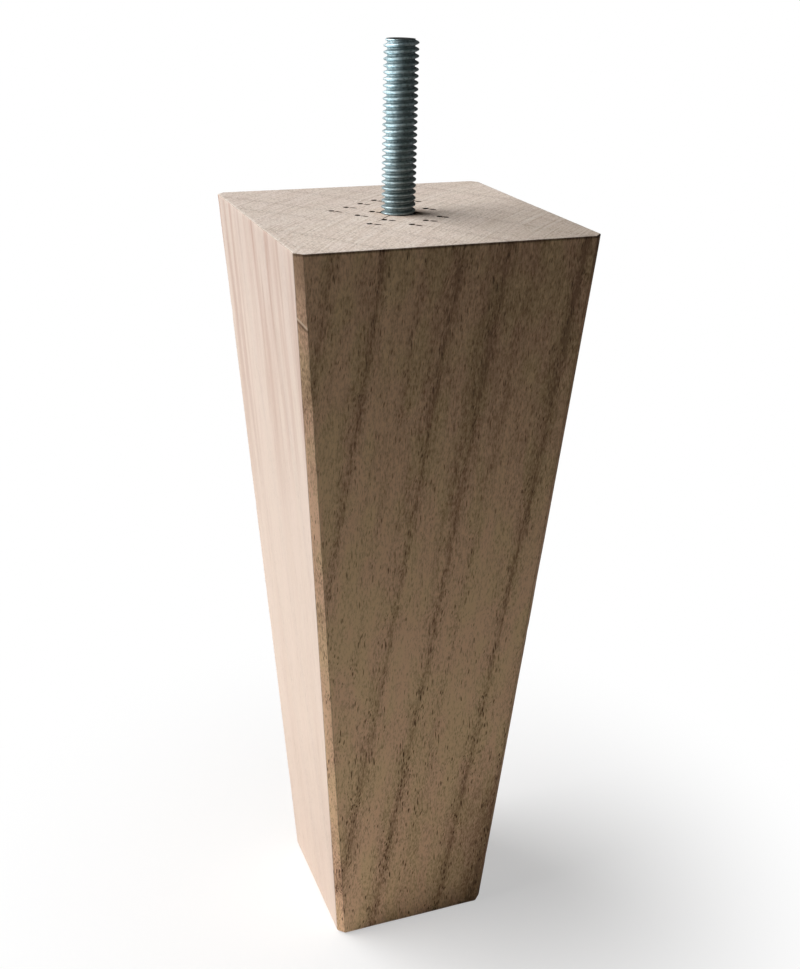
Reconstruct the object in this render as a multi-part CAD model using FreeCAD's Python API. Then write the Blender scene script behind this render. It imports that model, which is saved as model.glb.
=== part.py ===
import FreeCAD, Part
import math
import os

# Tapered square furniture leg with a threaded stud, standing on its foot.
# Millimetres. The origin is the middle of the foot's underside and +Z runs up the leg's axis.
# The four tapered faces look along +X, -X, +Y and -Y.

# Wooden leg
leg_height = 190.5
top_width = 69.85  # square top, measured across the flats
foot_width = 42.0  # square foot, measured across the flats
arris_flat = 1.75  # how far each long corner is planed back along both of its faces
foot_easing = 1.0  # chamfer round the foot's underside
top_easing = 0.3  # corner of the sawn top, knocked off with sandpaper

# Hanger bolt: machine thread above the wood, plain shank and wood-screw end inside it
bolt_diameter = 7.94  # over the crests of both threads
thread_pitch = 1.411  # machine thread, 18 turns to the inch
stud_length = 38.1  # machine thread that stands out of the wood
tip_chamfer = 0.65
shank_length = 6.0
screw_length = 24.0  # wood-screw thread, without its point
screw_point_length = 8.1
screw_run_out = 1.5  # cone between the wood-screw thread and the shank

# Hole drilled in the top for the bolt
hole_clearance = 0.05  # on the radius, all round the wood-screw end
hole_spare_depth = 2.0  # below the point of the bolt
drill_point_angle = 118.0

# Sizes that follow from the ones above
rolled_blank_ratio = 0.6495  # a thread rolled on a plain rod stands this share of its pitch proud of it
bolt_radius = bolt_diameter / 2
shank_radius = (bolt_diameter - rolled_blank_ratio * thread_pitch) / 2
bolt_bottom = leg_height - shank_length - screw_length - screw_point_length
bolt_top = leg_height + stud_length
hole_radius = bolt_radius + hole_clearance
hole_shoulder = bolt_bottom - hole_spare_depth
hole_bottom = hole_shoulder - hole_radius / math.tan(math.radians(drill_point_angle / 2))


def tapered_prism(across):
    """Both tapered faces of one pair: a trapezoid seen along the other pair, drawn out past the leg's sides."""
    foot = foot_width / 2
    top = top_width / 2
    reach = max(foot_width, top_width)
    along = FreeCAD.Vector(0, 0, 1).cross(across)
    outline = [(-foot, 0), (foot, 0), (top, leg_height), (-top, leg_height)]
    points = [across * offset + FreeCAD.Vector(0, 0, z) - along * reach for offset, z in outline]
    return Part.Face(Part.makePolygon(points + points[:1])).extrude(along * (2 * reach))


def turned(profile):
    """Solid turned about the Z axis from (radius, height) points that start and end on the axis."""
    points = [FreeCAD.Vector(radius, 0, height) for radius, height in profile]
    outline = Part.Face(Part.makePolygon(points + points[:1]))
    return outline.revolve(FreeCAD.Vector(0, 0, 0), FreeCAD.Vector(0, 0, 1), 360)


def edges_between(solid, low, high):
    """Straight edges of a solid that run from height low to height high."""
    near = 0.001
    return [
        edge
        for edge in solid.Edges
        if abs(edge.BoundBox.ZMin - low) < near and abs(edge.BoundBox.ZMax - high) < near
    ]


def drilled_hole():
    """Straight hole with a drill's conical bottom, open at the leg's top."""
    return turned(
        [
            (0, hole_bottom),
            (hole_radius, hole_shoulder),
            (hole_radius, leg_height),
            (0, leg_height),
        ]
    )


def leg_body():
    """Blank sawn to a taper on both pairs of faces, arrises planed, ends eased, then drilled in the top."""
    blank = tapered_prism(FreeCAD.Vector(1, 0, 0)).common(tapered_prism(FreeCAD.Vector(0, 1, 0)))
    planed = blank.makeChamfer(arris_flat, edges_between(blank, 0, leg_height))
    eased = planed.makeChamfer(foot_easing, edges_between(planed, 0, 0))
    eased = eased.makeChamfer(top_easing, edges_between(eased, leg_height, leg_height))
    return eased.cut(drilled_hole())


def hanger_bolt():
    """Double-ended bolt, each thread at its crest diameter, seated where the machine thread meets the wood."""
    screw_bottom = bolt_bottom + screw_point_length
    shank_bottom = leg_height - shank_length
    return turned(
        [
            (0, bolt_bottom),
            (bolt_radius, screw_bottom),
            (bolt_radius, shank_bottom),
            (shank_radius, shank_bottom + screw_run_out),
            (shank_radius, leg_height),
            (bolt_radius, leg_height),
            (bolt_radius, bolt_top - tip_chamfer),
            (bolt_radius - tip_chamfer, bolt_top),
            (0, bolt_top),
        ]
    )


os.makedirs("parts", exist_ok=True)
for node, shape in (("leg_body", leg_body()), ("hanger_bolt", hanger_bolt())):
    solid = shape.Solids[0]
    box = solid.BoundBox
    print(node, "solids", len(shape.Solids), "valid", solid.isValid(), "volume", round(solid.Volume, 1))
    print("  size", round(box.XLength, 3), round(box.YLength, 3), round(box.ZLength, 3), "from z", round(box.ZMin, 3))
    solid.exportStep(f"parts/{node}.step")
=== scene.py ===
# %% [markdown]
# # A tapered furniture leg
# The object is a square wooden leg that tapers to its foot, with a zinc-plated stud standing out of its
# top. The solid model already has both pieces at their real size, so it is loaded first as a fixed frame.
# Everything below takes its sizes from that frame and only adds what the solids leave out: worn edges, the
# screw threads, the grain of the wood and the plating.

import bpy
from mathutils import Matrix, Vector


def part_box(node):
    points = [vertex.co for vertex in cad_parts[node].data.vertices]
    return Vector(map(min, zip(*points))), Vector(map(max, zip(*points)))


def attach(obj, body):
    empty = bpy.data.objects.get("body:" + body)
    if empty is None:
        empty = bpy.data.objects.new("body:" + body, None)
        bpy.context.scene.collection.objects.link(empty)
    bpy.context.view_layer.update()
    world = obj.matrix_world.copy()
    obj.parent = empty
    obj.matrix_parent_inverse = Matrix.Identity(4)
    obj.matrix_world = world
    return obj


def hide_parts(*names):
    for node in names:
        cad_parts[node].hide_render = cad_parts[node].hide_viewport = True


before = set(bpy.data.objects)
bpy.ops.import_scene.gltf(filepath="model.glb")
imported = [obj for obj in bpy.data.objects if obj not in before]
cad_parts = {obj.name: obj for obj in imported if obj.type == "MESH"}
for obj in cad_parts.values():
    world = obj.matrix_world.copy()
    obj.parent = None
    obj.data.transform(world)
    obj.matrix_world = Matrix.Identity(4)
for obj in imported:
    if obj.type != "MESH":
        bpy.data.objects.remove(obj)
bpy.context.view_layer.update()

# %% [markdown]
# ## Reading the sizes off the solids
# A taper is known from its width at two heights, so the widest points near the foot and near the top are
# enough. The planed corner is what is missing from the square at its widest row of points. The bolt was
# turned from one profile, so the heights of its points are the heights at which that profile changes.
# Reading them here, in place of typing them again, keeps the scene right if the solids change.

# %% Sizes of the leg and of the bolt
import math
from types import SimpleNamespace

import bmesh
import bpy
from mathutils import Matrix, Vector, noise

MM = 0.001  # the scene is in metres
near = 0.01 * MM  # points closer than this count as level with each other

leg_points = [vertex.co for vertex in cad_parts["leg_body"].data.vertices]
bolt_points = [vertex.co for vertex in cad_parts["hanger_bolt"].data.vertices]
leg_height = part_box("leg_body")[1].z
low_corner = max((p for p in leg_points if p.z < leg_height / 2), key=lambda p: p.x)
high_corner = max((p for p in leg_points if p.z > leg_height / 2), key=lambda p: p.x)
foot_easing = low_corner.z
top_easing = leg_height - high_corner.z
taper = (high_corner.x - low_corner.x) / (high_corner.z - low_corner.z)
arris_flat = high_corner.x - max(abs(p.y) for p in leg_points if p.x > high_corner.x - near)


def half_width(height):
    """Half of the leg's width across the flats at a height."""
    return low_corner.x + taper * (height - low_corner.z)


bolt_low, bolt_top = (corner.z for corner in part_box("hanger_bolt"))
crest_radius = max(p.x for p in bolt_points)
full_levels = sorted({round(p.z, 6) for p in bolt_points if p.xy.length > crest_radius - near})
point_end, screw_top, stud_low, tip_low = full_levels
shank_points = [p for p in bolt_points if screw_top < p.z < stud_low]
shank_radius = min(p.xy.length for p in shank_points)
shank_low = min(p.z for p in shank_points if p.xy.length < shank_radius + near)
print("leg height", leg_height, "half widths", half_width(0), half_width(leg_height), "arris", arris_flat)
print("bolt radius", crest_radius, "shank radius", shank_radius, "at full width from", full_levels)

# %% [markdown]
# ## A small language for nodes
# Node trees are easier to read as sums than as lists of boxes and links. The class below wraps one output
# of a node. Python's own operators on it add Math nodes to the same tree, and its one method adds any other
# kind of node. Shader trees and Geometry Nodes trees use the same Math nodes, so one class serves both.

# %% Wire: an output that can be used in sums


class Wire:
    """One output of a node. An operator on it adds the Math node for that operator."""

    def __init__(self, tree, output=None):
        self.tree = tree
        self.output = output

    def node(self, kind, settings=None, inputs=None, output=0):
        """Add a node: its settings first, then the values or links of its sockets."""
        made = self.tree.nodes.new(kind)
        for name, value in (settings or {}).items():
            if name == "stops":
                set_stops(made.color_ramp.elements, value)
            else:
                setattr(made, name, value)
        for name, value in (inputs or {}).items():
            if isinstance(value, Wire):
                self.tree.links.new(value.output, made.inputs[name])
            else:
                made.inputs[name].default_value = value
        return Wire(self.tree, made.outputs[output] if made.outputs else None)

    def also(self, output):
        """Another output of the same node."""
        return Wire(self.tree, self.output.node.outputs[output])

    def math(self, operation, *values):
        return self.node("ShaderNodeMath", {"operation": operation}, dict(enumerate(values)))

    def __add__(self, other):
        return self.math("ADD", self, other)

    __radd__ = __add__

    def __sub__(self, other):
        return self.math("SUBTRACT", self, other)

    def __rsub__(self, other):
        return self.math("SUBTRACT", other, self)

    def __mul__(self, other):
        return self.math("MULTIPLY", self, other)

    __rmul__ = __mul__

    def __truediv__(self, other):
        return self.math("DIVIDE", self, other)

    def __rtruediv__(self, other):
        return self.math("DIVIDE", other, self)

    def __pow__(self, other):
        return self.math("POWER", self, other)

    def __abs__(self):
        return self.math("ABSOLUTE", self)

    def __lt__(self, other):
        return self.math("LESS_THAN", self, other)

    def __gt__(self, other):
        return self.math("GREATER_THAN", self, other)


def set_stops(elements, stops):
    """Give a colour ramp its (position, grey level) stops."""
    while len(elements) < len(stops):
        elements.new(1.0)
    for element, (position, level) in zip(elements, stops):
        element.position = position
        element.color = (level, level, level, 1.0)


def ease(value, low, high):
    """0 below low, 1 above high and a smooth step between them. Low may be the larger number."""
    limits = {"Value": value, "From Min": low, "From Max": high}
    return value.node("ShaderNodeMapRange", {"interpolation_type": "SMOOTHSTEP"}, limits)


def clamp01(value):
    return value.node("ShaderNodeClamp", None, {"Value": value})


print("wires ready")

# %% [markdown]
# ## Geometry Nodes, from tree to plain mesh
# A Geometry Nodes tree is a rule: it makes its shape again whenever an input changes. Here each tree is run
# once. Its inputs are set by the sockets' identifiers, the finished shape is copied to a plain mesh, and
# the modifier goes. What is left is an ordinary mesh, which exports and bakes without surprises.

# %% Helpers for trees, objects and meshes


def new_tree(name, sizes):
    """A Geometry Nodes tree with one named input for each size, and the wire of its group input."""
    tree = bpy.data.node_groups.new(name, "GeometryNodeTree")
    tree.interface.new_socket("Geometry", in_out="OUTPUT", socket_type="NodeSocketGeometry")
    tree.interface.new_socket("Geometry", in_out="INPUT", socket_type="NodeSocketGeometry")
    for label, value in sizes.items():
        kind = "NodeSocketInt" if isinstance(value, int) else "NodeSocketFloat"
        tree.interface.new_socket(label, in_out="INPUT", socket_type=kind)
    return tree, Wire(tree).node("NodeGroupInput")


def end_tree(geometry, material):
    """Realize the instances, set the material and connect the result to the tree's output."""
    real = geometry.node("GeometryNodeRealizeInstances", None, {"Geometry": geometry})
    painted = real.node("GeometryNodeSetMaterial", None, {"Geometry": real, "Material": material})
    painted.node("NodeGroupOutput", None, {"Geometry": painted})


def new_object(name, mesh):
    made = bpy.data.objects.new(name, mesh)
    bpy.context.scene.collection.objects.link(made)
    return made


def settle(made):
    """Turn what an object's modifiers show into its own plain mesh."""
    bpy.context.view_layer.update()
    shown = made.evaluated_get(bpy.context.evaluated_depsgraph_get())
    mesh = bpy.data.meshes.new_from_object(shown)
    made.modifiers.clear()
    made.data = mesh
    return made


def run_tree(name, tree, sizes, start_mesh):
    """Run a tree on a mesh with its named sizes, and keep the result as a plain object."""
    made = new_object(name, start_mesh)
    modifier = made.modifiers.new(tree.name, "NODES")
    modifier.node_group = tree
    for socket in tree.interface.items_tree:
        if socket.in_out == "INPUT" and socket.name in sizes:
            modifier[socket.identifier] = sizes[socket.name]
    return settle(made)


def mesh_from(name, shape):
    """Keep a bmesh as a new mesh, with its faces turned outwards."""
    bmesh.ops.recalc_face_normals(shape, faces=shape.faces)
    mesh = bpy.data.meshes.new(name)
    shape.to_mesh(mesh)
    shape.free()
    return mesh


def report_mesh(made):
    """Print a piece's triangles, its box in millimetres and its open edges."""
    shape = bmesh.new()
    shape.from_mesh(made.data)
    open_edges = sum(not edge.is_manifold for edge in shape.edges)
    triangles = sum(len(face.verts) - 2 for face in shape.faces)
    shape.free()
    low = [round(min(v.co[axis] for v in made.data.vertices) / MM, 3) for axis in range(3)]
    high = [round(max(v.co[axis] for v in made.data.vertices) / MM, 3) for axis in range(3)]
    print(made.name, "triangles", triangles, "open edges", open_edges, "from", low, "to", high)


print("helpers ready")

# %% [markdown]
# ## Helpers for the finishes
# Both finishes are built from the same few moves: a noise that is stretched until its clouds have the right
# size, a mix of two colours, and a tint that multiplies a colour. Each move gets a short name here, so that
# the finishes below read like recipes. Colours are written as they look on a screen.

# %% Colours, noise and tints
white = (1.0, 1.0, 1.0, 1.0)


def tone(red, green, blue):
    """A colour given as it looks on a screen, from 0 to 255, as the linear colour that shaders use."""
    screen = [c / 255 for c in (red, green, blue)]
    linear = [((c + 0.055) / 1.055) ** 2.4 if c > 0.04 else c / 12.92 for c in screen]
    return (*linear, 1.0)


def new_material(name):
    """An empty material, and a wire to start its tree with."""
    material = bpy.data.materials.new(name)
    material.use_nodes = True
    material.node_tree.nodes.clear()
    return material, Wire(material.node_tree)


def end_material(shader):
    shader.node("ShaderNodeOutputMaterial", None, {"Surface": shader})


def vector_math(operation, first, second=(0.0, 0.0, 0.0), output=0):
    """A Vector Math node. Its output 1 is the number that a length or a dot product gives."""
    return first.node("ShaderNodeVectorMath", {"operation": operation}, {0: first, 1: second}, output)


def stretched(vector, x, y, z):
    """A vector with each of its parts multiplied by a number."""
    return vector_math("MULTIPLY", vector, (x, y, z))


def vector_of(x, y, z=0.0):
    return x.node("ShaderNodeCombineXYZ", None, {0: x, 1: y, 2: z})


def parts_of(vector):
    x = vector.node("ShaderNodeSeparateXYZ", None, {0: vector})
    return x, x.also("Y"), x.also("Z")


def clouds(vector, detail=2.0, rough=0.5):
    """Noise from 0 to 1 over a vector that is already in the size of its clouds."""
    values = {"Vector": vector, "Scale": 1.0, "Detail": detail, "Roughness": rough}
    return vector.node("ShaderNodeTexNoise", None, values)


def blend(factor, first, second):
    """Mix two colours."""
    return factor.node("ShaderNodeMix", {"data_type": "RGBA"}, {0: factor, 6: first, 7: second}, 2)


def tinted(colour, tint):
    """A colour multiplied by a tint."""
    settings = {"data_type": "RGBA", "blend_type": "MULTIPLY"}
    return colour.node("ShaderNodeMix", settings, {0: 1.0, 6: colour, 7: tint}, 2)


def tinted_where(colour, where, tint):
    """A colour multiplied by a tint, as far as a mask says."""
    return tinted(colour, blend(where, white, tint))


print("finish helpers ready")

# %% [markdown]
# ## The wood: rings as a solid texture
# The leg was sawn from a plank, so one set of growth rings runs through all of its faces and out at its
# sawn top. A flat texture on each face would break at the corners. Here the colour depends on the place
# inside the block: each ring is a slightly curved wall that leans a little as it climbs, and every face
# shows where it cuts those walls. Each year ends in a dark edge: the wood darkens slowly towards it and
# turns pale soon after.

# %% Where the rings are
ring_normal = Vector((0.81, 0.586, 0.0))  # level direction from the middle of the tree towards its bark
ring_tangent = Vector((-0.586, 0.81, 0.0))
grain_lean = 0.0716  # how far the rings move along that direction for each unit of height
ring_radius = 300.0  # millimetres, of the rings that cross the leg

# edge of each ring in millimetres along the normal, from the leg's axis at the foot, and how dark it is
seen_rings = (
    (-63.0, 0.6), (-55.7, 0.7), (-46.1, 1.0), (-41.8, 0.25), (-37.8, 0.3),
    (-31.1, 0.9), (-21.7, 1.0), (-16.5, 0.35), (-5.6, 1.0),
)
far_rings = ((3.0, 0.7), (9.5, 0.5), (18.0, 1.0), (24.0, 0.4), (33.0, 0.9), (41.0, 0.6))


def ring_shade(across, rings, rise, fall):
    """0 in pale wood and up to 1 at the edge of a ring, for a place across the rings in millimetres."""
    start = rings[0][0] - rise
    span = rings[-1][0] + fall - start
    stops = []
    for edge, depth in rings:
        for place, level in ((edge - rise, 0.0), (edge, depth), (edge + fall, 0.0)):
            stops.append(((place - start) / span, level))
    position = (across - start) / span
    ramp = position.node("ShaderNodeValToRGB", {"stops": stops}, {"Fac": position})
    inside = (across > start) * (across < start + span)
    return ramp * inside


def all_rings(across, rise, fall):
    return ring_shade(across, seen_rings, rise, fall) + ring_shade(across, far_rings, rise, fall)


print("rings", len(seen_rings) + len(far_rings))

# %% [markdown]
# ## The wood: one point of the leg
# A material answers one question at every point: what colour is it here? For that the shader has to know
# where the point lies in the block, which way its face looks, and how far it is from the edge of a ring.
# These wires are made once and kept together, so that every later step can use them. The grain is a set of
# upright coordinates that lean with the rings, and a noise that is long in the last of them makes fibres.

# %% Place, face, grain and rings of a point
z_top = leg_height / MM
end_facing = 0.6, 0.9  # how far a face looks up or down, from a side to a sawn end
sanded_facing = 0.75, 0.95  # how far a face looks towards -X, to the lamp, where the wood gets painted light
planed_facing = 0.45, 0.6  # how far a face looks between two sides, where a corner was planed

# clouds in a millimetre: twice across the grain, then along it
drift_grain = 0.035, 0.035, 0.012
tremor_grain = 0.9, 0.9, 0.14
fibre_grain = 2.1, 2.1, 0.42
streak_grain = 0.6, 0.6, 0.012
patch_grain = 0.2, 0.2, 0.07
drift_reach, tremor_reach = 1.6, 1.4  # millimetres that the rings wander, slowly and quickly

wide_ring = 4.6, 2.4  # millimetres of slow darkening before the edge of a ring, and of return after it
thin_ring = 1.1, 0.8  # the dark line at the edge itself
porous_ring = 2.4, 4.0  # the early wood behind the edge, where the pores crowd
porous_shift = 0.8


def wood_point(start):
    """Wires for a point of the leg, with lengths in millimetres."""
    at = SimpleNamespace()
    place = start.node("ShaderNodeTexCoord", output="Object")
    east, north, up = parts_of(place.also("Normal"))
    at.end = ease(abs(up), *end_facing)
    # the side that looks to the lamp: painted light makes it paler, with less contrast and fewer pores
    at.sanded = ease(east * -1.0, *sanded_facing)
    at.slant = abs(east).math("MINIMUM", abs(east), abs(north))
    at.planed = ease(at.slant, *planed_facing)

    at.mm = stretched(place, 1 / MM, 1 / MM, 1 / MM)
    at.x, at.y, at.z = parts_of(at.mm)
    at.below_top = z_top - at.z
    at.grain_x = at.x - grain_lean * ring_normal.x * at.z
    at.grain_y = at.y - grain_lean * ring_normal.y * at.z
    at.grain = vector_of(at.grain_x, at.grain_y, at.z)
    at.fibres = clouds(stretched(at.grain, *fibre_grain), 3.0, 0.65)
    at.streaks = clouds(stretched(at.grain, *streak_grain), 3.0, 0.6)
    at.patches = clouds(stretched(at.grain, *patch_grain), 1.0)

    at.along = ring_tangent.x * at.x + ring_tangent.y * at.y
    bow = at.along * at.along / (2 * ring_radius)
    drift = clouds(stretched(at.grain, *drift_grain), 1.0) - 0.5
    tremor = clouds(stretched(at.grain, *tremor_grain), 2.0) - 0.5
    at.across = ring_normal.x * at.grain_x + ring_normal.y * at.grain_y + bow
    at.across = at.across + drift * drift_reach + tremor * tremor_reach
    at.rings = all_rings(at.across, *wide_ring)
    at.ring_line = all_rings(at.across, *thin_ring)
    at.porous = all_rings(at.across + porous_shift, *porous_ring)
    return at


print("top of the wood at", round(z_top, 2), "mm")

# %% [markdown]
# ## The wood: colour between the pores
# Bare hardwood is not one brown. It darkens towards the edge of each ring, soft layers run beside the
# rings, and fine fibres streak it along the grain. All of that is added up to one number from pale to dark,
# and two colours are mixed by it. Wide patches then lean a little to red or to green. Painted shade darkens
# the wood towards the top and a low corner on the +X side, and painted light pales its middle height. The
# face that looks to the light gets painted light: it is paler and pinker, with less contrast and fewer
# pores, and has soft brown streaks. The sawn ends are paler too.

# %% Colour of plain wood
pale_wood = tone(222, 195, 165)
ring_wood = tone(147, 122, 101)
# painted light: the wood of the lit side, paler and pinker, and its grain streaks paled the same way
sanded_pink = tone(211, 195, 186)
sanded_streak = tone(176, 143, 128)
end_grain = tone(217, 200, 187)
reddish = (1.025, 0.982, 1.0, 1.0)
greenish = (0.985, 1.003, 0.945, 1.0)
# a greyer tint: painted shade at the top and bottom of the lit side, and darker towards the back left of
# the ends
greyer_tint = (0.93, 0.925, 0.93, 1.0)

mottle_grain = 3.0, 3.0, 0.9  # clouds in a millimetre, as above
stripe_grain = 0.0, 0.17, 0.011
layer_grain = 0.3, 0.03, 0.01  # clouds in a millimetre across the rings, along them and upwards
base_shade = 0.17
ring_depth, line_depth = 0.26, 0.28
fibre_depth, mottle_depth = 1.4, 1.8
layer_depth, streak_depth = 0.6, 0.6
painted_shade_high, painted_shade_low, painted_light_middle = 0.3, 0.45, 0.2  # painted shade towards the top and a low corner, both on the +X side, and painted light between


def wood_shade(at):
    """0 in the palest wood and 1 in the darkest."""
    across, along, upwards = layer_grain
    layers = clouds(vector_of(at.across * across, at.along * along, at.z * upwards), 3.0, 0.6)
    mottle = clouds(stretched(at.grain, *mottle_grain), 2.0, 0.6)
    fine = (at.fibres - 0.5) * fibre_depth + (mottle - 0.5) * mottle_depth
    broad = (layers - 0.5) * layer_depth + (at.streaks - 0.5) * streak_depth
    # painted shade towards the top right and the low right corner, painted light at middle height
    broad = broad + painted_shade_high * ease(at.x, -28.0, 8.0) * ease(at.z, 60.0, 185.0)
    broad = broad + painted_shade_low * ease(at.x, 6.0, 18.0) * ease(at.z, 60.0, 25.0)
    broad = broad - painted_light_middle * ease(abs(at.z - 92.0), 85.0, 0.0)
    # less contrast on the lit side, where painted light washes it out, and on the sawn ends
    contrast = 1.0 - 0.6 * at.sanded - 0.75 * at.end
    rings = at.rings * ring_depth + at.ring_line * line_depth
    return clamp01(base_shade + (rings + broad + fine) * contrast)


def plain_wood(at):
    """Colour of the wood before its pores, with the sawn ends, and painted light and shade on the side that
    looks to the lamp.
    """
    colour = blend(wood_shade(at), pale_wood, ring_wood)
    colour = blend(at.sanded * 0.75, colour, sanded_pink)
    # painted shade at the top and bottom of the lit side
    colour = tinted_where(colour, at.sanded * ease(abs(at.z - 110.0), 40.0, 95.0), greyer_tint)
    # brown grain streaks on the lit side, fading downwards where painted light washes them out
    stripes = clouds(stretched(at.grain, *stripe_grain), 3.0, 0.6)
    striped = ease(stripes, 0.42, 0.7) * (0.1 + 0.6 * ease(at.z, 95.0, 188.0))
    colour = blend(at.sanded * striped, colour, sanded_streak)
    colour = blend(at.sanded * ease(at.streaks, 0.53, 0.7) * 0.12, colour, sanded_streak)
    colour = blend(at.end * 0.85, colour, end_grain)
    tint = blend(ease(at.patches, 0.36, 0.64), greenish, reddish)
    return tinted(colour, blend(clamp01(at.sanded * 0.9 + at.end * 0.8), tint, white))


print("plain wood ready")

# %% [markdown]
# ## The wood: pores
# Short dark pores lie along the grain like pencil ticks, and most of them are at the edge of a ring. The
# same pores are dots where the saw cut across them at the top. A Voronoi texture puts one point in each
# cell of space. With cells that are long and thin along the grain, the space near each point is a short
# tube, and each face of the leg cuts the tubes as it would cut real pores.

# %% Pores as stretched cells
# dark of the pores, also used for the edge lines, painted shade under the top's edge and the scratch's
# painted shadow
pore_and_shade_dark = tone(54, 36, 28)
pore_wander = 3.0  # millimetres that the tubes are pushed aside, so that no face cuts them in rows
pore_core = 0.45  # share of a tube's radius that is fully dark
large_pore = 0.4, 3.4, 0.44  # width and length of a cell in millimetres, and the tube's radius in the cell
small_pore = 0.28, 3.2, 0.43
top_speck = 0.85, 4.0, 0.42


def pores(grain, size, share):
    """Short tubes along the grain: one in each stretched cell, for a share of the cells that may vary."""
    width, length, radius = size
    cells = stretched(grain, 1 / width, 1 / width, 1 / length)
    nearest = cells.node("ShaderNodeTexVoronoi", None, {"Vector": cells, "Scale": 1.0})
    chance = nearest.node("ShaderNodeSeparateColor", None, {0: nearest.also("Color")})
    return ease(nearest, radius, radius * pore_core) * (chance < share)


def wood_pits(at):
    """How dark the pores are: large ones at ring edges, small ones everywhere, all darker low down."""
    aside = at.patches * pore_wander
    tubes = vector_of(at.grain_x + aside, at.grain_y + aside, at.z)
    large = pores(tubes, large_pore, 0.04 + 0.42 * at.porous + 0.4 * at.ring_line)
    small = pores(tubes, small_pore, 0.3 + 0.4 * at.porous)
    return clamp01(large * 0.66 + small * 0.36) * (0.9 + 0.5 * ease(at.z, 115.0, 45.0))


def with_pores(at, colour, pits):
    # pores fade on the lit side, where painted light washes them out, and are fewer on the sawn ends
    return blend(pits * (1.0 - 0.88 * at.sanded) * (1.0 - 0.4 * at.end), colour, pore_and_shade_dark)


print("pores ready")

# %% [markdown]
# ## The wood: planed corners
# The long corners were planed flat last, so their wood is fresher and warmer. Dark lines run along their
# edges, and painted shade darkens them towards the top. One of them has a short scratch across it. A plane
# through the scratch cuts the corner in a line, so the distance from that plane is enough to draw it: a
# pale groove with a painted shadow beside it.

# %% Planed corners and the scratch
planed_warm = (1.0, 0.93, 0.9, 1.0)
# painted shade on the planed corners, strongest at the top
painted_planed_shade = (0.6, 0.58, 0.57, 1.0)
scratch_pale = tone(240, 220, 198)
scratch_place = Vector((-32.96, -32.96, 175.6))  # millimetres, on the near planed corner
scratch_normal = Vector((-0.498, 0.446, -0.74))  # across the scratch
scratch_shadow = 0.5  # millimetres from the groove to its shadow
scratch_end = 2.6, 1.8  # millimetres from its middle, where it is gone and where it is full


def with_corners(at, colour):
    # dark lines along the edges of the planed corners
    dark_edge_line = ease(at.slant, 0.08, 0.25) * ease(at.slant, 0.66, 0.5)
    colour = tinted_where(colour, at.planed, planed_warm)
    colour = blend(dark_edge_line * 0.4, colour, pore_and_shade_dark)
    # painted shade: the planed corners darker towards the top
    colour = tinted_where(colour, at.planed * ease(at.below_top, 16.0, 2.0), painted_planed_shade)
    away = vector_math("SUBTRACT", at.mm, scratch_place)
    beside = vector_math("DOT_PRODUCT", away, scratch_normal, 1)
    scratched = at.planed * ease(vector_math("LENGTH", away, output=1), *scratch_end)
    colour = blend(scratched * ease(abs(beside - scratch_shadow), 0.32, 0.1) * 0.5, colour, pore_and_shade_dark)
    return blend(scratched * ease(abs(beside), 0.28, 0.12) * 0.7, colour, scratch_pale)


print("planed corners ready")

# %% [markdown]
# ## The wood: the sawn top
# A round blade cut the top, so it left faint curved lines: places at one distance from the blade's middle.
# The cut ends of the fibres make the surface fuzzy, pale and dark by turns. The rings show as broken lines,
# and the bolt rubbed the wood round it brown. Painted shade fills the slits and the hole below the top and
# darkens the near right corner and a line under the top's edge, and a painted highlight runs along the
# edge.

# %% The sawn top
end_dark = tone(154, 131, 111)
# pale of the saw marks and the fuzz, also used for the painted highlight along the top's edge
saw_and_highlight_pale = tone(228, 216, 204)
speck_grey = tone(128, 113, 102)
rubbed_brown = tone(178, 146, 116)
# painted shade in the slits and the hole below the top
painted_cut_shade = tone(26, 13, 6)
# painted shade at the near right corner of the ends
painted_corner_shade = (0.72, 0.705, 0.68, 1.0)
saw_radius = 230.0  # millimetres, of the round blade
saw_centre = Vector((0.72, -0.695, 0.0)) * saw_radius
saw_grain = 1.9, 0.16  # clouds in a millimetre across the blade's lines and along them
fuzz_grain = 2.6, 2.6, 1.0
slit_reach = 22.0  # millimetres from the axis within which the top is marked
slit_floor = 5.0  # millimetres below the top, deeper than any mark


def with_top_edge(at, colour):
    """Painted shade in a line under the edge of the top, and a broken painted highlight along the edge
    itself.
    """
    border = half_width(leg_height) / MM - abs(at.x).math("MAXIMUM", abs(at.x), abs(at.y))
    # painted shade in a thin line under the top's edge
    under_edge = ease(at.below_top, 0.75, 0.35) * (1.0 - at.end) * (1.0 - at.sanded)
    colour = blend(under_edge * 0.6, colour, pore_and_shade_dark)
    # painted highlight along the top's edge, broken by the fibres
    return blend(at.end * ease(border, 1.1, 0.3) * ease(at.fibres, 0.35, 0.55) * 0.5, colour, saw_and_highlight_pale)


def with_saw_marks(at, colour):
    """Ring edges on the sawn ends, the blade's lines and the fuzz of cut fibres."""
    across, along = saw_grain
    from_blade = vector_math("DISTANCE", at.mm, (*saw_centre.xy, z_top), 1)
    saw = clouds(vector_of(from_blade * across, at.along * along), 3.0, 0.6)
    fuzz = clouds(stretched(at.mm, *fuzz_grain), 2.0, 0.7)
    colour = blend(at.end * at.ring_line * ease(at.fibres, 0.4, 0.6) * 0.45, colour, end_dark)
    colour = blend(at.end * ease(saw, 0.5, 0.66) * 0.5, colour, saw_and_highlight_pale)
    colour = blend(at.end * ease(saw, 0.5, 0.32) * 0.38, colour, end_dark)
    colour = blend(at.end * ease(fuzz, 0.5, 0.68) * 0.62, colour, saw_and_highlight_pale)
    return blend(at.end * ease(fuzz, 0.5, 0.32) * 0.55, colour, end_dark)


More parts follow.
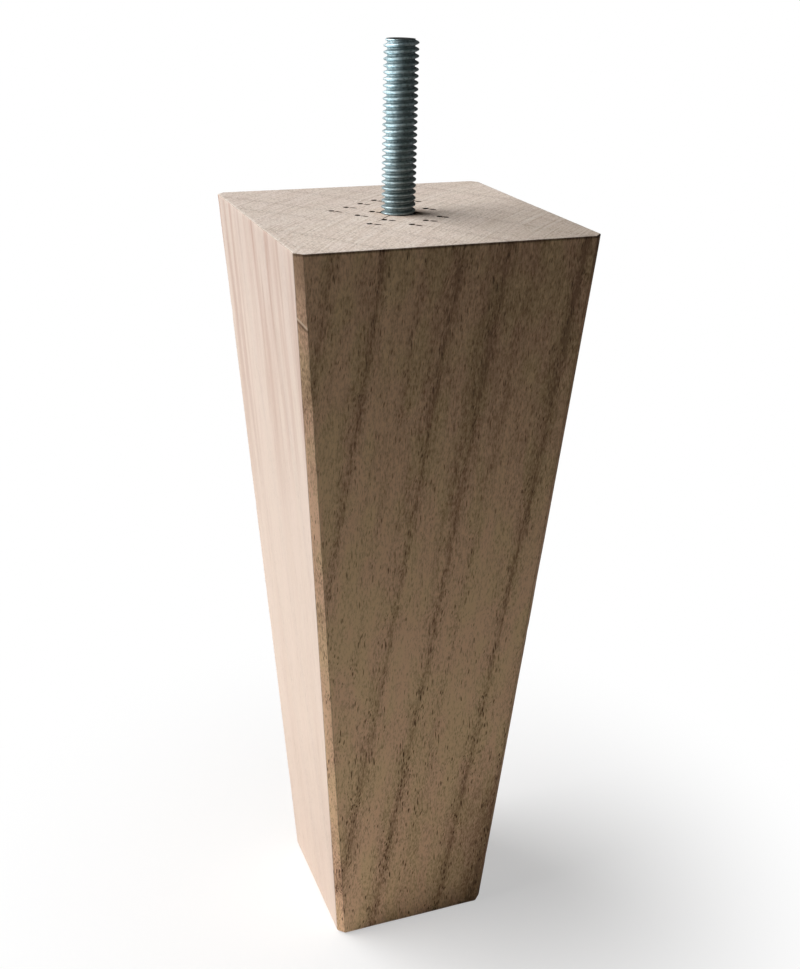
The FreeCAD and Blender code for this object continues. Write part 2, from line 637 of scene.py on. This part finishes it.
def with_stains_and_shade(at, colour):
    """Greyer towards the back left of the ends, painted shade at their near right corner, grey specks,
    brown round the bolt, and painted shade in the slits and the hole.
    """
    # greyer towards the back left of the ends
    colour = tinted_where(colour, at.end * ease(at.y - at.x, -8.0, 36.0), greyer_tint)
    # painted shade at the near right corner of the ends
    colour = tinted_where(colour, at.end * ease(at.x - at.y * 0.8, 12.0, 60.0), painted_corner_shade)
    specks = pores(at.grain, top_speck, 0.22 + 0.6 * at.porous)
    colour = blend(at.end * specks * 0.42, colour, speck_grey)
    from_axis = (at.x * at.x + at.y * at.y) ** 0.5
    rubbed = at.end * ease(from_axis, 8.5, 4.0) * ease(at.fibres, 0.35, 0.6)
    colour = blend(rubbed * 0.5, colour, rubbed_brown)
    # painted shade below the top in the slits and the hole
    sunk = ease(at.below_top, 0.01, 0.12) * (from_axis < slit_reach) * (at.z > z_top - slit_floor)
    return blend(sunk * 0.98, colour, painted_cut_shade)


print("sawn top ready")

# %% [markdown]
# ## The wood, put together
# Each step above takes a colour and gives it back changed, so the wood is those steps in order. Unfinished
# wood hardly shines: its specular level is low and its roughness high, and a shallow bump lets fibres and
# pores catch the light.

# %% Bare wood


def bare_wood():
    material, start = new_material("bare_wood")
    at = wood_point(start)
    pits = wood_pits(at)
    colour = with_pores(at, plain_wood(at), pits)
    colour = with_top_edge(at, with_corners(at, colour))
    colour = with_stains_and_shade(at, with_saw_marks(at, colour))
    rough = 0.62 + (at.fibres - 0.5) * 0.2 + pits * 0.2
    height = at.fibres * 0.4 - pits * 0.9
    bump = start.node("ShaderNodeBump", None, {"Strength": 0.4, "Distance": 0.12 * MM, "Height": height})
    surface = {"Base Color": colour, "Roughness": rough, "Normal": bump, "Specular IOR Level": 0.08}
    end_material(start.node("ShaderNodeBsdfPrincipled", None, surface))
    return material


wood = bare_wood()
print("wood nodes", len(wood.node_tree.nodes))

# %% [markdown]
# ## The plating on the bolt
# Zinc plating is a thin bright metal skin with a cool cast. It is never even: it clouds in patches and is
# rougher in the roots of the thread. A metal shader with a cool grey, with noise in its colour and in its
# roughness, gives that. Painted shade darkens the roots of the thread and the stud just above the wood. The
# shine itself is left to the lights.

# %% Zinc plate
zinc_dull = tone(184, 202, 206)
zinc_clear = tone(218, 235, 239)
fleck_dark = tone(108, 126, 129)
fleck_bright = tone(234, 243, 243)
# painted shade in the roots of the thread
painted_root_shade = tone(92, 106, 107)
tip_grey = tone(60, 63, 62)
# painted shade on the stud just above the wood
painted_stud_base_shade = tone(84, 95, 94)
stud_base_shade_height = 22.0  # millimetres of the stud above the wood over which the painted shade fades out
cloud_size, fleck_size = 0.35, 1.7  # clouds in a millimetre


def zinc_plate():
    material, start = new_material("zinc_plate")
    place = start.node("ShaderNodeTexCoord", output="Object")
    mm = stretched(place, 1 / MM, 1 / MM, 1 / MM)
    cloudy = clouds(stretched(mm, cloud_size, cloud_size, cloud_size), 3.0, 0.6)
    flecks = clouds(stretched(mm, fleck_size, fleck_size, fleck_size), 3.0, 0.65)
    x, y, z = parts_of(mm)
    from_axis = (x * x + y * y) ** 0.5
    root = 1.0 - ease(from_axis, crest_radius / MM - 0.75, crest_radius / MM - 0.1)
    colour = blend(ease(cloudy, 0.35, 0.65), zinc_dull, zinc_clear)
    colour = blend(ease(flecks, 0.48, 0.66) * 0.6, colour, fleck_dark)
    colour = blend(ease(flecks, 0.44, 0.3) * 0.5, colour, fleck_bright)
    # painted shade in the roots of the thread
    colour = blend(root * 0.45, colour, painted_root_shade)
    colour = blend(ease(z, bolt_top / MM - 0.1, bolt_top / MM - 0.02), colour, tip_grey)
    # painted shade on the stud just above the wood
    colour = blend(ease(z, z_top + stud_base_shade_height, z_top) * 0.45, colour, painted_stud_base_shade)
    rough = 0.4 + (cloudy - 0.5) * 0.25 + (flecks - 0.5) * 0.4 + root * 0.12
    bump = start.node("ShaderNodeBump", None, {"Strength": 0.5, "Distance": 0.06 * MM, "Height": flecks})
    surface = {"Base Color": colour, "Roughness": rough, "Metallic": 1.0, "Normal": bump}
    end_material(start.node("ShaderNodeBsdfPrincipled", None, surface))
    return material


zinc = zinc_plate()
print("zinc nodes", len(zinc.node_tree.nodes))

# %% [markdown]
# ## The leg's block, with worn edges
# The block is sawn to its taper, its four long corners are planed flat and all of its edges are rubbed with
# sandpaper. It could be a cube with bevels, but a stack of outlines says the same thing more exactly: each
# outline is a square with cut corners, and the stack grows from the foot to the top. Extra outlines next to
# each rounded edge keep the flat faces flat in the light. Smooth noise then moves the edges in by a few
# hundredths of a millimetre, because no hand-rubbed edge is perfectly straight.

# %% Outline of the block at one height
edge_round = 0.4 * MM  # radius where a planed corner meets a face
edge_steps = 3  # faces round each of those edges
hold = 0.35 * MM  # distance from a rounded edge to the line that holds its face flat
face_steps = 22  # columns of faces across a side
flat_steps = 2  # columns of faces across a planed corner


def octagon(half, flat):
    """Corners of a square with cut corners, counter-clockwise from the +X side."""
    quarter = [Vector((half, half - flat)), Vector((half - flat, half))]
    return [Matrix.Rotation(math.radians(90 * k), 2) @ p for k in range(4) for p in quarter]


def outline(half, flat):
    """Points of the octagon with its corners rounded, as (point, is it on a rounded edge)."""
    corners = octagon(half, flat)
    cut = edge_round * math.tan(math.radians(22.5))
    points = []
    for k, corner in enumerate(corners):
        back = (corners[k - 1] - corner).normalized()
        onward = (corners[(k + 1) % 8] - corner).normalized()
        for step in range(edge_steps + 1):
            t = step / edge_steps
            bow = corner + back * cut * (1 - t) ** 2 + onward * cut * t**2
            points.append((bow, True))
        run = (corners[(k + 1) % 8] - corner).length - 2 * cut
        steps = flat_steps if k % 2 == 0 else face_steps
        margin = hold if k % 2 else run / 4
        for step in range(steps + 1):
            points.append((corner + onward * (cut + margin + (run - 2 * margin) * step / steps), False))
    return points


print("points in an outline", len(outline(half_width(0), arris_flat)))

# %% The stack of outlines
side_rows = 80
round_rows = 5
inner_rim = 0.5 * MM
slow_wear, fine_wear = 14 * MM, 1.6 * MM  # size of the noise that rubs the block
even_rub, edge_rub, dent_rub = 0.02 * MM, 0.09 * MM, 0.5 * MM
dent_level = 0.42  # of the fine noise, above which an edge is dented


def block_levels():
    """Heights of the outlines, each with how far the outline is drawn in there."""
    levels = [(0.0, foot_easing + inner_rim)]
    turns = [math.radians(90 * step / round_rows) for step in range(round_rows + 1)]
    for turn in turns:
        levels.append((foot_easing * (1 - math.cos(turn)), foot_easing * (1 - math.sin(turn))))
    low, high = foot_easing + hold, leg_height - top_easing - hold
    levels += [(low + (high - low) * step / side_rows, 0.0) for step in range(side_rows + 1)]
    for turn in turns:
        drawn_in = top_easing * (1 - math.cos(turn))
        levels.append((leg_height - top_easing * (1 - math.sin(turn)), drawn_in))
    levels.append((leg_height, top_easing + inner_rim))
    return levels


def wear(point, on_edge):
    """How far a point is rubbed in: a little everywhere, and more in a few dents along the edges."""
    slow = noise.noise(point / slow_wear)
    fine = noise.noise(point / fine_wear)
    rub = even_rub * (1 + slow)
    if on_edge:
        rub += edge_rub * max(0.0, slow) + dent_rub * max(0.0, fine - dent_level)
    return rub


def wooden_block():
    shape = bmesh.new()
    rows = []
    for height, drawn_in in block_levels():
        half = half_width(height) - drawn_in
        flat = arris_flat - drawn_in * (2 - math.sqrt(2))
        near_end = min(height, leg_height - height) < foot_easing * 0.5
        row = []
        for point, on_edge in outline(half, flat):
            place = Vector((*point, height))
            rub = wear(place, on_edge or near_end) * (1 if drawn_in < foot_easing else 0)
            place.xy -= point.normalized() * rub
            row.append(shape.verts.new(place))
        rows.append(row)
    count = len(rows[0])
    for low, high in zip(rows, rows[1:]):
        for k in range(count):
            shape.faces.new((low[k], low[(k + 1) % count], high[(k + 1) % count], high[k]))
    shape.faces.new(reversed(rows[0]))
    shape.faces.new(rows[-1])
    return mesh_from("leg_wood", shape)


leg = new_object("leg_wood", wooden_block())
report_mesh(leg)

# %% [markdown]
# ## What was cut into the top
# The top has a drilled hole for the bolt, and round it a lattice of small slits that were pressed into the
# end grain. Each slit is a round prick with a thin tail. Slits like these repeat, so Geometry Nodes put one
# cutter on each point of the lattice, a little different each time. The cutters are then taken away from
# the block with a Boolean. A short split also runs from the hole towards the near corner.

# %% The slits' cutters
slit_start = Vector((-0.4, 15.6)) * MM  # first point of the lattice, on the top
slit_step = Vector((-4.65, -3.3)) * MM  # from one slit to the next in a row
slit_row = Vector((4.23, -6.34)) * MM  # from one row to the next
slit_rows = ((0, 1, 2, 3), (-1, 0, 1, 2, 3), (0, 1, 3, 4), (1, 2, 3))  # slits in each row
whole_slits = ((1, -1), (2, 1), (3, 1))  # row and place of those with prick and tail in one stroke
slit_sizes = {
    "Prick Radius": 0.78 * MM,
    "Tail Length": 2.2 * MM,
    "Tail Width": 0.9 * MM,
    "Depth": 1.2 * MM,
    "Proud": 0.1 * MM,
    "Direction": math.radians(-48),
    "Seed": 7,
}
prick_foot, tail_foot = 0.6, 0.5  # width of a cutter at its bottom, of its width at the top
shallowest = 0.5  # depth of the lightest tail, of the full depth
most_sway = 0.14  # radians that a slit may turn to either side


def random_between(wire, low, high, seed):
    return wire.node("FunctionNodeRandomValue", {"data_type": "FLOAT"}, {2: low, 3: high, "Seed": seed}, 1)


def slit_tree():
    tree, given = new_tree("pressed_slits", slit_sizes)
    size = {label: given.also(label) for label in slit_sizes}
    seed = size["Seed"]
    deep = random_between(given, shallowest, 1.0, seed)
    sway = random_between(given, -most_sway, most_sway, seed + 1.0)
    turn = given.node("ShaderNodeCombineXYZ", None, {2: size["Direction"] + sway})

    cone = {"Depth": size["Depth"] + size["Proud"]}
    wide = size["Prick Radius"]
    long = size["Tail Length"] / 2
    prick = {**cone, "Vertices": 10, "Radius Top": wide, "Radius Bottom": wide * prick_foot}
    prick = given.node("GeometryNodeMeshCone", None, prick)
    tail = {**cone, "Vertices": 8, "Radius Top": long, "Radius Bottom": long * tail_foot}
    tail = given.node("GeometryNodeMeshCone", None, tail)
    flatness = size["Tail Width"] / size["Tail Length"]
    thin = given.node("ShaderNodeCombineXYZ", None, {0: 1.0, 1: flatness, 2: 1.0})
    tail = given.node("GeometryNodeTransform", None, {"Geometry": tail, "Scale": thin})
    down = size["Depth"] * -1.0
    ahead = size["Tail Length"] * 0.5 + size["Prick Radius"]
    whole = given.node("GeometryNodeInputNamedAttribute", {"data_type": "FLOAT"}, {"Name": "whole"})

    marks = given.node("GeometryNodeJoinGeometry")
    strokes = (
        (prick, 0.0, 0.8 + 0.4 * deep, 1.0, True),
        (tail, ahead, 0.6 + 0.6 * deep, deep, 1.0 - whole),
        (tail, ahead * 0.75, 1.4, 1.0, whole),
    )
    for shape, forward, width, depth, chosen in strokes:
        offset = given.node("ShaderNodeCombineXYZ", None, {0: forward, 2: down})
        shape = given.node("GeometryNodeTransform", None, {"Geometry": shape, "Translation": offset})
        sunk = given.node("ShaderNodeCombineXYZ", None, {0: 1.0, 1: width, 2: depth})
        sockets = {"Points": given, "Selection": chosen, "Instance": shape, "Rotation": turn, "Scale": sunk}
        placed = given.node("GeometryNodeInstanceOnPoints", None, sockets)
        tree.links.new(placed.output, marks.output.node.inputs[0])
    end_tree(marks, wood)
    return tree


def lattice_mesh():
    shape = bmesh.new()
    whole = shape.verts.layers.float.new("whole")
    for row, slits_in_row in enumerate(slit_rows):
        for k in slits_in_row:
            point = shape.verts.new((*(slit_start + slit_step * k + slit_row * row), leg_height))
            point[whole] = float((row, k) in whole_slits)
    print("slits", len(shape.verts))
    return mesh_from("slit_points", shape)


slits = run_tree("slit_cutters", slit_tree(), slit_sizes, lattice_mesh())
report_mesh(slits)

# %% The drilled hole and the split
hole_gap = 0.2 * MM
hole_radius = crest_radius + hole_gap
hole_sides = 64
hole_shoulder = min(p.z for p in leg_points if crest_radius < p.xy.length < 2 * crest_radius)
hole_bottom = min(p.z for p in leg_points if p.xy.length < crest_radius * 0.5 and p.z > foot_easing)
proud = 1 * MM  # how far the hole's cutter stands out of the top
split_path = ((-2.6, -2.3), (-4.6, -4.3), (-6.4, -6.6), (-8.6, -8.8))  # millimetres, on the top
split_width = 0.42 * MM
split_depth = 2.0 * MM
split_proud = 0.1 * MM


def hole_cutter():
    shape = bmesh.new()
    tip = shape.verts.new((0, 0, hole_bottom))
    rings = []
    for height in (hole_shoulder, leg_height + proud):
        ring = []
        for k in range(hole_sides):
            angle = 2 * math.pi * k / hole_sides
            east, north = hole_radius * math.cos(angle), hole_radius * math.sin(angle)
            ring.append(shape.verts.new((east, north, height)))
        rings.append(ring)
    for k in range(hole_sides):
        onward = (k + 1) % hole_sides
        shape.faces.new((tip, rings[0][onward], rings[0][k]))
        shape.faces.new((rings[0][k], rings[0][onward], rings[1][onward], rings[1][k]))
    shape.faces.new(rings[1])
    return mesh_from("hole_cutter", shape)


def split_cutter():
    """A wedge along the split, open at the hole and closing to almost nothing at its far end."""
    shape = bmesh.new()
    path = [Vector(p) * MM for p in split_path]
    aside = (path[-1] - path[0]).orthogonal().normalized()
    sections = []
    for k, point in enumerate(path):
        left = 1 - k / (len(path) - 0.7)
        reach = aside * split_width * left / 2
        corners = ((point + reach, split_proud), (point, -split_depth * left), (point - reach, split_proud))
        sections.append([shape.verts.new((*xy, leg_height + rise)) for xy, rise in corners])
    for first, second in zip(sections, sections[1:]):
        for k in range(3):
            shape.faces.new((first[k], first[(k + 1) % 3], second[(k + 1) % 3], second[k]))
    shape.faces.new(sections[0])
    shape.faces.new(reversed(sections[-1]))
    return mesh_from("split_cutter", shape)


print("hole from", round(hole_bottom / MM, 2), "shoulder", round(hole_shoulder / MM, 2))

# %% Cut the block and smooth its rounded edges
sharp_angle = math.radians(32)
cutters = [slits, new_object("hole_cutter", hole_cutter()), new_object("split_cutter", split_cutter())]
for cutter in cutters:
    cut = leg.modifiers.new(cutter.name, "BOOLEAN")
    cut.operation = "DIFFERENCE"
    cut.solver = "EXACT"
    cut.use_self = True
    cut.object = cutter
settle(leg)
for cutter in cutters:
    bpy.data.objects.remove(cutter)


def finish_mesh(made, material):
    made.data.materials.clear()
    made.data.materials.append(material)
    made.data.shade_smooth()
    made.data.set_sharp_from_angle(angle=sharp_angle)


finish_mesh(leg, wood)
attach(leg, "root")
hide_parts("leg_body")
report_mesh(leg)

# %% [markdown]
# ## The hanger bolt
# A hanger bolt has two threads on one rod: a machine thread that stands out of the wood, and a coarse
# wood-screw thread with a point, driven into it. A thread could be a profile swept along a helix, but the
# sweep has to be joined to a core afterwards. Here a grid is rolled into a tube and sheared, so that its
# rows climb by one pitch in one turn. Each row is then a line along the thread, and the radius is a short
# sum of the place in the thread. Counter-clockwise and upwards together make it right-handed.

# %% The bolt's tree
thread_pitch = 25.4 / 18 * MM  # machine thread, eighteen turns to the inch
bolt_sizes = {
    "Pitch": thread_pitch,
    "Crest Radius": crest_radius,
    "Shank Radius": shank_radius,
    "Core Radius": 0.72 * crest_radius,  # between the turns of the wood-screw thread
    "Low": bolt_low,
    "Point End": point_end,
    "Screw Top": screw_top,
    "Shank Low": shank_low,
    "Stud Low": stud_low,
    "Top": bolt_top,
    "Tip Radius": crest_radius - (bolt_top - tip_low),
    "Sides": 64,
    "Rows in a Turn": 14,
    "Turns": math.ceil((bolt_top - bolt_low) / thread_pitch) + 2,  # two to spare, trimmed off later
}
thread_depth = 0.6134  # of the pitch
thread_crest, thread_root = 0.1, 0.14  # crest and root of the machine thread, of half its pitch
screw_pitch = 2.0  # of the machine thread's pitch
screw_crest, screw_flank = 0.06, 0.45  # flat and foot of the wood-screw thread, of half its pitch
spare_turns = 8.0  # keeps the wood-screw's count of turns above zero
blunt_point = 0.02  # of the screw's radius, left at its very point
weld = 0.002 * MM  # points of the seam closer than this become one


def bolt_tree():
    tree, given = new_tree("threaded_bolt", bolt_sizes)
    size = {label: given.also(label) for label in bolt_sizes}
    rows = size["Turns"] * size["Rows in a Turn"]
    grid = given.node(
        "GeometryNodeMeshGrid", None,
        {"Size X": 1.0, "Size Y": 1.0, "Vertices X": size["Sides"] + 1.0, "Vertices Y": rows + 1.0},
    )
    spot = given.node("ShaderNodeSeparateXYZ", None, {0: given.node("GeometryNodeInputPosition")})
    around = spot + 0.5
    climb = (spot.also("Y") + 0.5) * size["Turns"]
    height = size["Low"] + size["Pitch"] * (climb - 1.0 + around)

    from_crest = abs(climb.math("FRACT", climb) - 0.5) * 2.0
    fall = ease(from_crest, thread_crest, 1.0 - thread_root)
    machine = size["Crest Radius"] - size["Pitch"] * thread_depth * fall

    screw_climb = (height - size["Low"]) / (size["Pitch"] * screw_pitch) - around
    from_edge = abs(climb.math("FRACT", screw_climb + spare_turns) - 0.5) * 2.0
    stand = ease(from_edge, screw_flank, screw_crest)
    point = clamp01((height - size["Low"]) / (size["Point End"] - size["Low"])) + blunt_point
    screw = (size["Core Radius"] + (size["Crest Radius"] - size["Core Radius"]) * stand) * point

    shank = size["Shank Radius"]
    in_stud = ease(height, size["Stud Low"] - size["Pitch"], size["Stud Low"])
    in_screw = ease(height, size["Shank Low"], size["Screw Top"])
    radius = shank + (machine - shank) * in_stud + (screw - shank) * in_screw
    radius = radius.math("MINIMUM", radius, size["Tip Radius"] + size["Top"] - height)
    radius = radius.math("MINIMUM", radius, size["Crest Radius"])
    angle = around * (2 * math.pi)
    east = radius * angle.math("COSINE", angle)
    north = radius * angle.math("SINE", angle)
    place = given.node("ShaderNodeCombineXYZ", None, {0: east, 1: north, 2: height})
    rolled = given.node("GeometryNodeSetPosition", None, {"Geometry": grid, "Position": place})
    seamless = given.node("GeometryNodeMergeByDistance", None, {"Geometry": rolled, "Distance": weld})
    end_tree(seamless, zinc)
    return tree


def trim(made, low, high):
    """Cut a tube level at both ends and close it."""
    shape = bmesh.new()
    shape.from_mesh(made.data)
    for height, up in ((low, -1), (high, 1)):
        whole = shape.verts[:] + shape.edges[:] + shape.faces[:]
        bmesh.ops.bisect_plane(
            shape, geom=whole, dist=1e-7, plane_co=(0, 0, height), plane_no=(0, 0, up), clear_outer=True
        )
    rims = [edge for edge in shape.edges if edge.is_boundary]
    bmesh.ops.edgeloop_fill(shape, edges=rims)
    made.data = mesh_from(made.name, shape)


bolt = run_tree("threaded_hanger_bolt", bolt_tree(), bolt_sizes, bpy.data.meshes.new("bolt_start"))
trim(bolt, bolt_low, bolt_top)
finish_mesh(bolt, zinc)
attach(bolt, "root")
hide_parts("hanger_bolt")
report_mesh(bolt)

# %% [markdown]
# ## Floor and light
# The leg stands on a plain pale floor. Seen by the camera, or mirrored in the metal, the floor and the
# world behind it are white, but they light the wood only as much as a pale floor and a dim room would.
# Close to the leg the camera also sees the floor's own shade, so the leg's shadow stays. One side of the
# room is dim, and the metal shows that as a dark side. One large soft light stands to the left and behind,
# so the left face is bright, the top less so and the near face in soft shade.

# %% Floor
table_radius = 0.32
floor_colour = (0.88, 0.77, 0.64, 1.0)  # in the light it sends on
floor_seen = (0.82, 0.786, 0.755, 1.0)  # grey under this lamp, for the shadow that the camera sees
shadow_core, shadow_reach = 0.04, 0.14  # from the leg's axis, where its shadow is full and where it ends
shadow_share = 0.5  # share of the lit floor, with its shadow, in what the camera sees close to the leg
dim_side = (0.936, -0.351, 0.0)  # level direction to the dim side of the room, right of the leg
dim_start, dim_full = -0.8, -0.05  # how far round towards that side the white fades
dimness = 0.96
rim_start = 0.9  # how far round towards that side a little white comes back
rim_share = 0.17  # of the white, at the very edge of the dim side


def seen_white(direction):
    """1 for rays from the camera. Metal and glass see the same white, but dimmer on the dim side."""
    path = direction.node("ShaderNodeLightPath", output="Is Camera Ray")
    sent_on = path.math("MAXIMUM", path.also("Is Glossy Ray"), path.also("Is Transmission Ray"))
    towards_dim = vector_math("DOT_PRODUCT", direction, dim_side, 1)
    bright = 1.0 - dimness * ease(towards_dim, dim_start, dim_full)
    bright = bright + rim_share * ease(towards_dim, rim_start, 1.0)
    return path.math("MAXIMUM", path, sent_on * bright)


def pale_floor():
    material, start = new_material("pale_floor")
    place = start.node("ShaderNodeTexCoord", output="Object")
    reach = vector_math("LENGTH", place, output=1)
    outwards = vector_math("NORMALIZE", place)
    white_share = 1.0 - shadow_share * ease(reach, shadow_reach, shadow_core)
    warm = start.node("ShaderNodeBsdfDiffuse", None, {"Color": floor_colour})
    grey = start.node("ShaderNodeBsdfDiffuse", None, {"Color": floor_seen})
    camera_ray = start.node("ShaderNodeLightPath", output="Is Camera Ray")
    plain = start.node("ShaderNodeMixShader", None, {0: camera_ray, 1: warm, 2: grey})
    glow = start.node("ShaderNodeEmission", None, {"Color": white, "Strength": 1.0})
    shown = seen_white(outwards) * white_share
    end_material(start.node("ShaderNodeMixShader", None, {0: shown, 1: plain, 2: glow}))
    return material


def floor_mesh():
    shape = bmesh.new()
    bmesh.ops.create_circle(shape, cap_ends=True, segments=96, radius=table_radius)
    return mesh_from("floor", shape)


floor = new_object("floor", floor_mesh())
floor.data.materials.append(pale_floor())
print("floor", 2 * table_radius, "m across")

# %% World and lamp
room_colour = (1.0, 0.88, 0.74, 1.0)
room_strength = 0.02
key_direction = Vector((-0.655, 0.356, 0.66)).normalized()  # from the leg towards the lamp
key_distance = 1.25
key_size = 1.3
key_power = 34.0
key_colour = (0.92, 0.96, 1.0)


def pale_world():
    world = bpy.data.worlds.new("pale_room")
    world.use_nodes = True
    world.node_tree.nodes.clear()
    start = Wire(world.node_tree)
    direction = start.node("ShaderNodeTexCoord", output="Generated")
    room = start.node("ShaderNodeBackground", None, {"Color": room_colour, "Strength": room_strength})
    backdrop = start.node("ShaderNodeBackground", None, {"Color": white, "Strength": 1.0})
    sky = start.node("ShaderNodeMixShader", None, {0: seen_white(direction), 1: room, 2: backdrop})
    sky.node("ShaderNodeOutputWorld", None, {"Surface": sky})
    return world


bpy.context.scene.world = pale_world()
lamp = bpy.data.lights.new("key_lamp", "AREA")
lamp.size = key_size
lamp.energy = key_power
lamp.color = key_colour
key_lamp = new_object("key_lamp", lamp)
key_lamp.location = Vector((0, 0, leg_height / 2)) + key_direction * key_distance
key_lamp.rotation_mode = "QUATERNION"
key_lamp.rotation_quaternion = (-key_direction).to_track_quat("-Z", "Y")
print("lamp", key_size, "m wide,", key_distance, "m from the leg")

# %% [markdown]
# ## Camera
# The camera stands where the photographer did: close, a little above the leg, turned so that the near
# corner is left of the middle, and tilted by about one degree. The lens and the place come from lining up
# the leg's straight edges.

# %% Camera and colour
camera_place = Vector((-103.3, -274.6, 248.0)) * MM
camera_aim = Vector((1.65, -0.63, 121.98)) * MM
camera_roll = math.radians(1.23)
camera_lens, camera_sensor = 46.9, 36.0  # millimetres, the sensor along the picture's long side
nearest_seen = 0.01

camera = new_object("camera", bpy.data.cameras.new("camera"))
camera.data.sensor_width = camera_sensor
camera.data.lens = camera_lens
camera.data.clip_start = nearest_seen
camera.location = camera_place
look = (camera_aim - camera_place).to_track_quat("-Z", "Y").to_matrix()
camera.rotation_euler = (look @ Matrix.Rotation(camera_roll, 3, "Z")).to_euler()
bpy.context.scene.camera = camera
bpy.context.scene.view_settings.view_transform = "Standard"
print("camera", round((camera_aim - camera_place).length / MM), "mm from its aim")
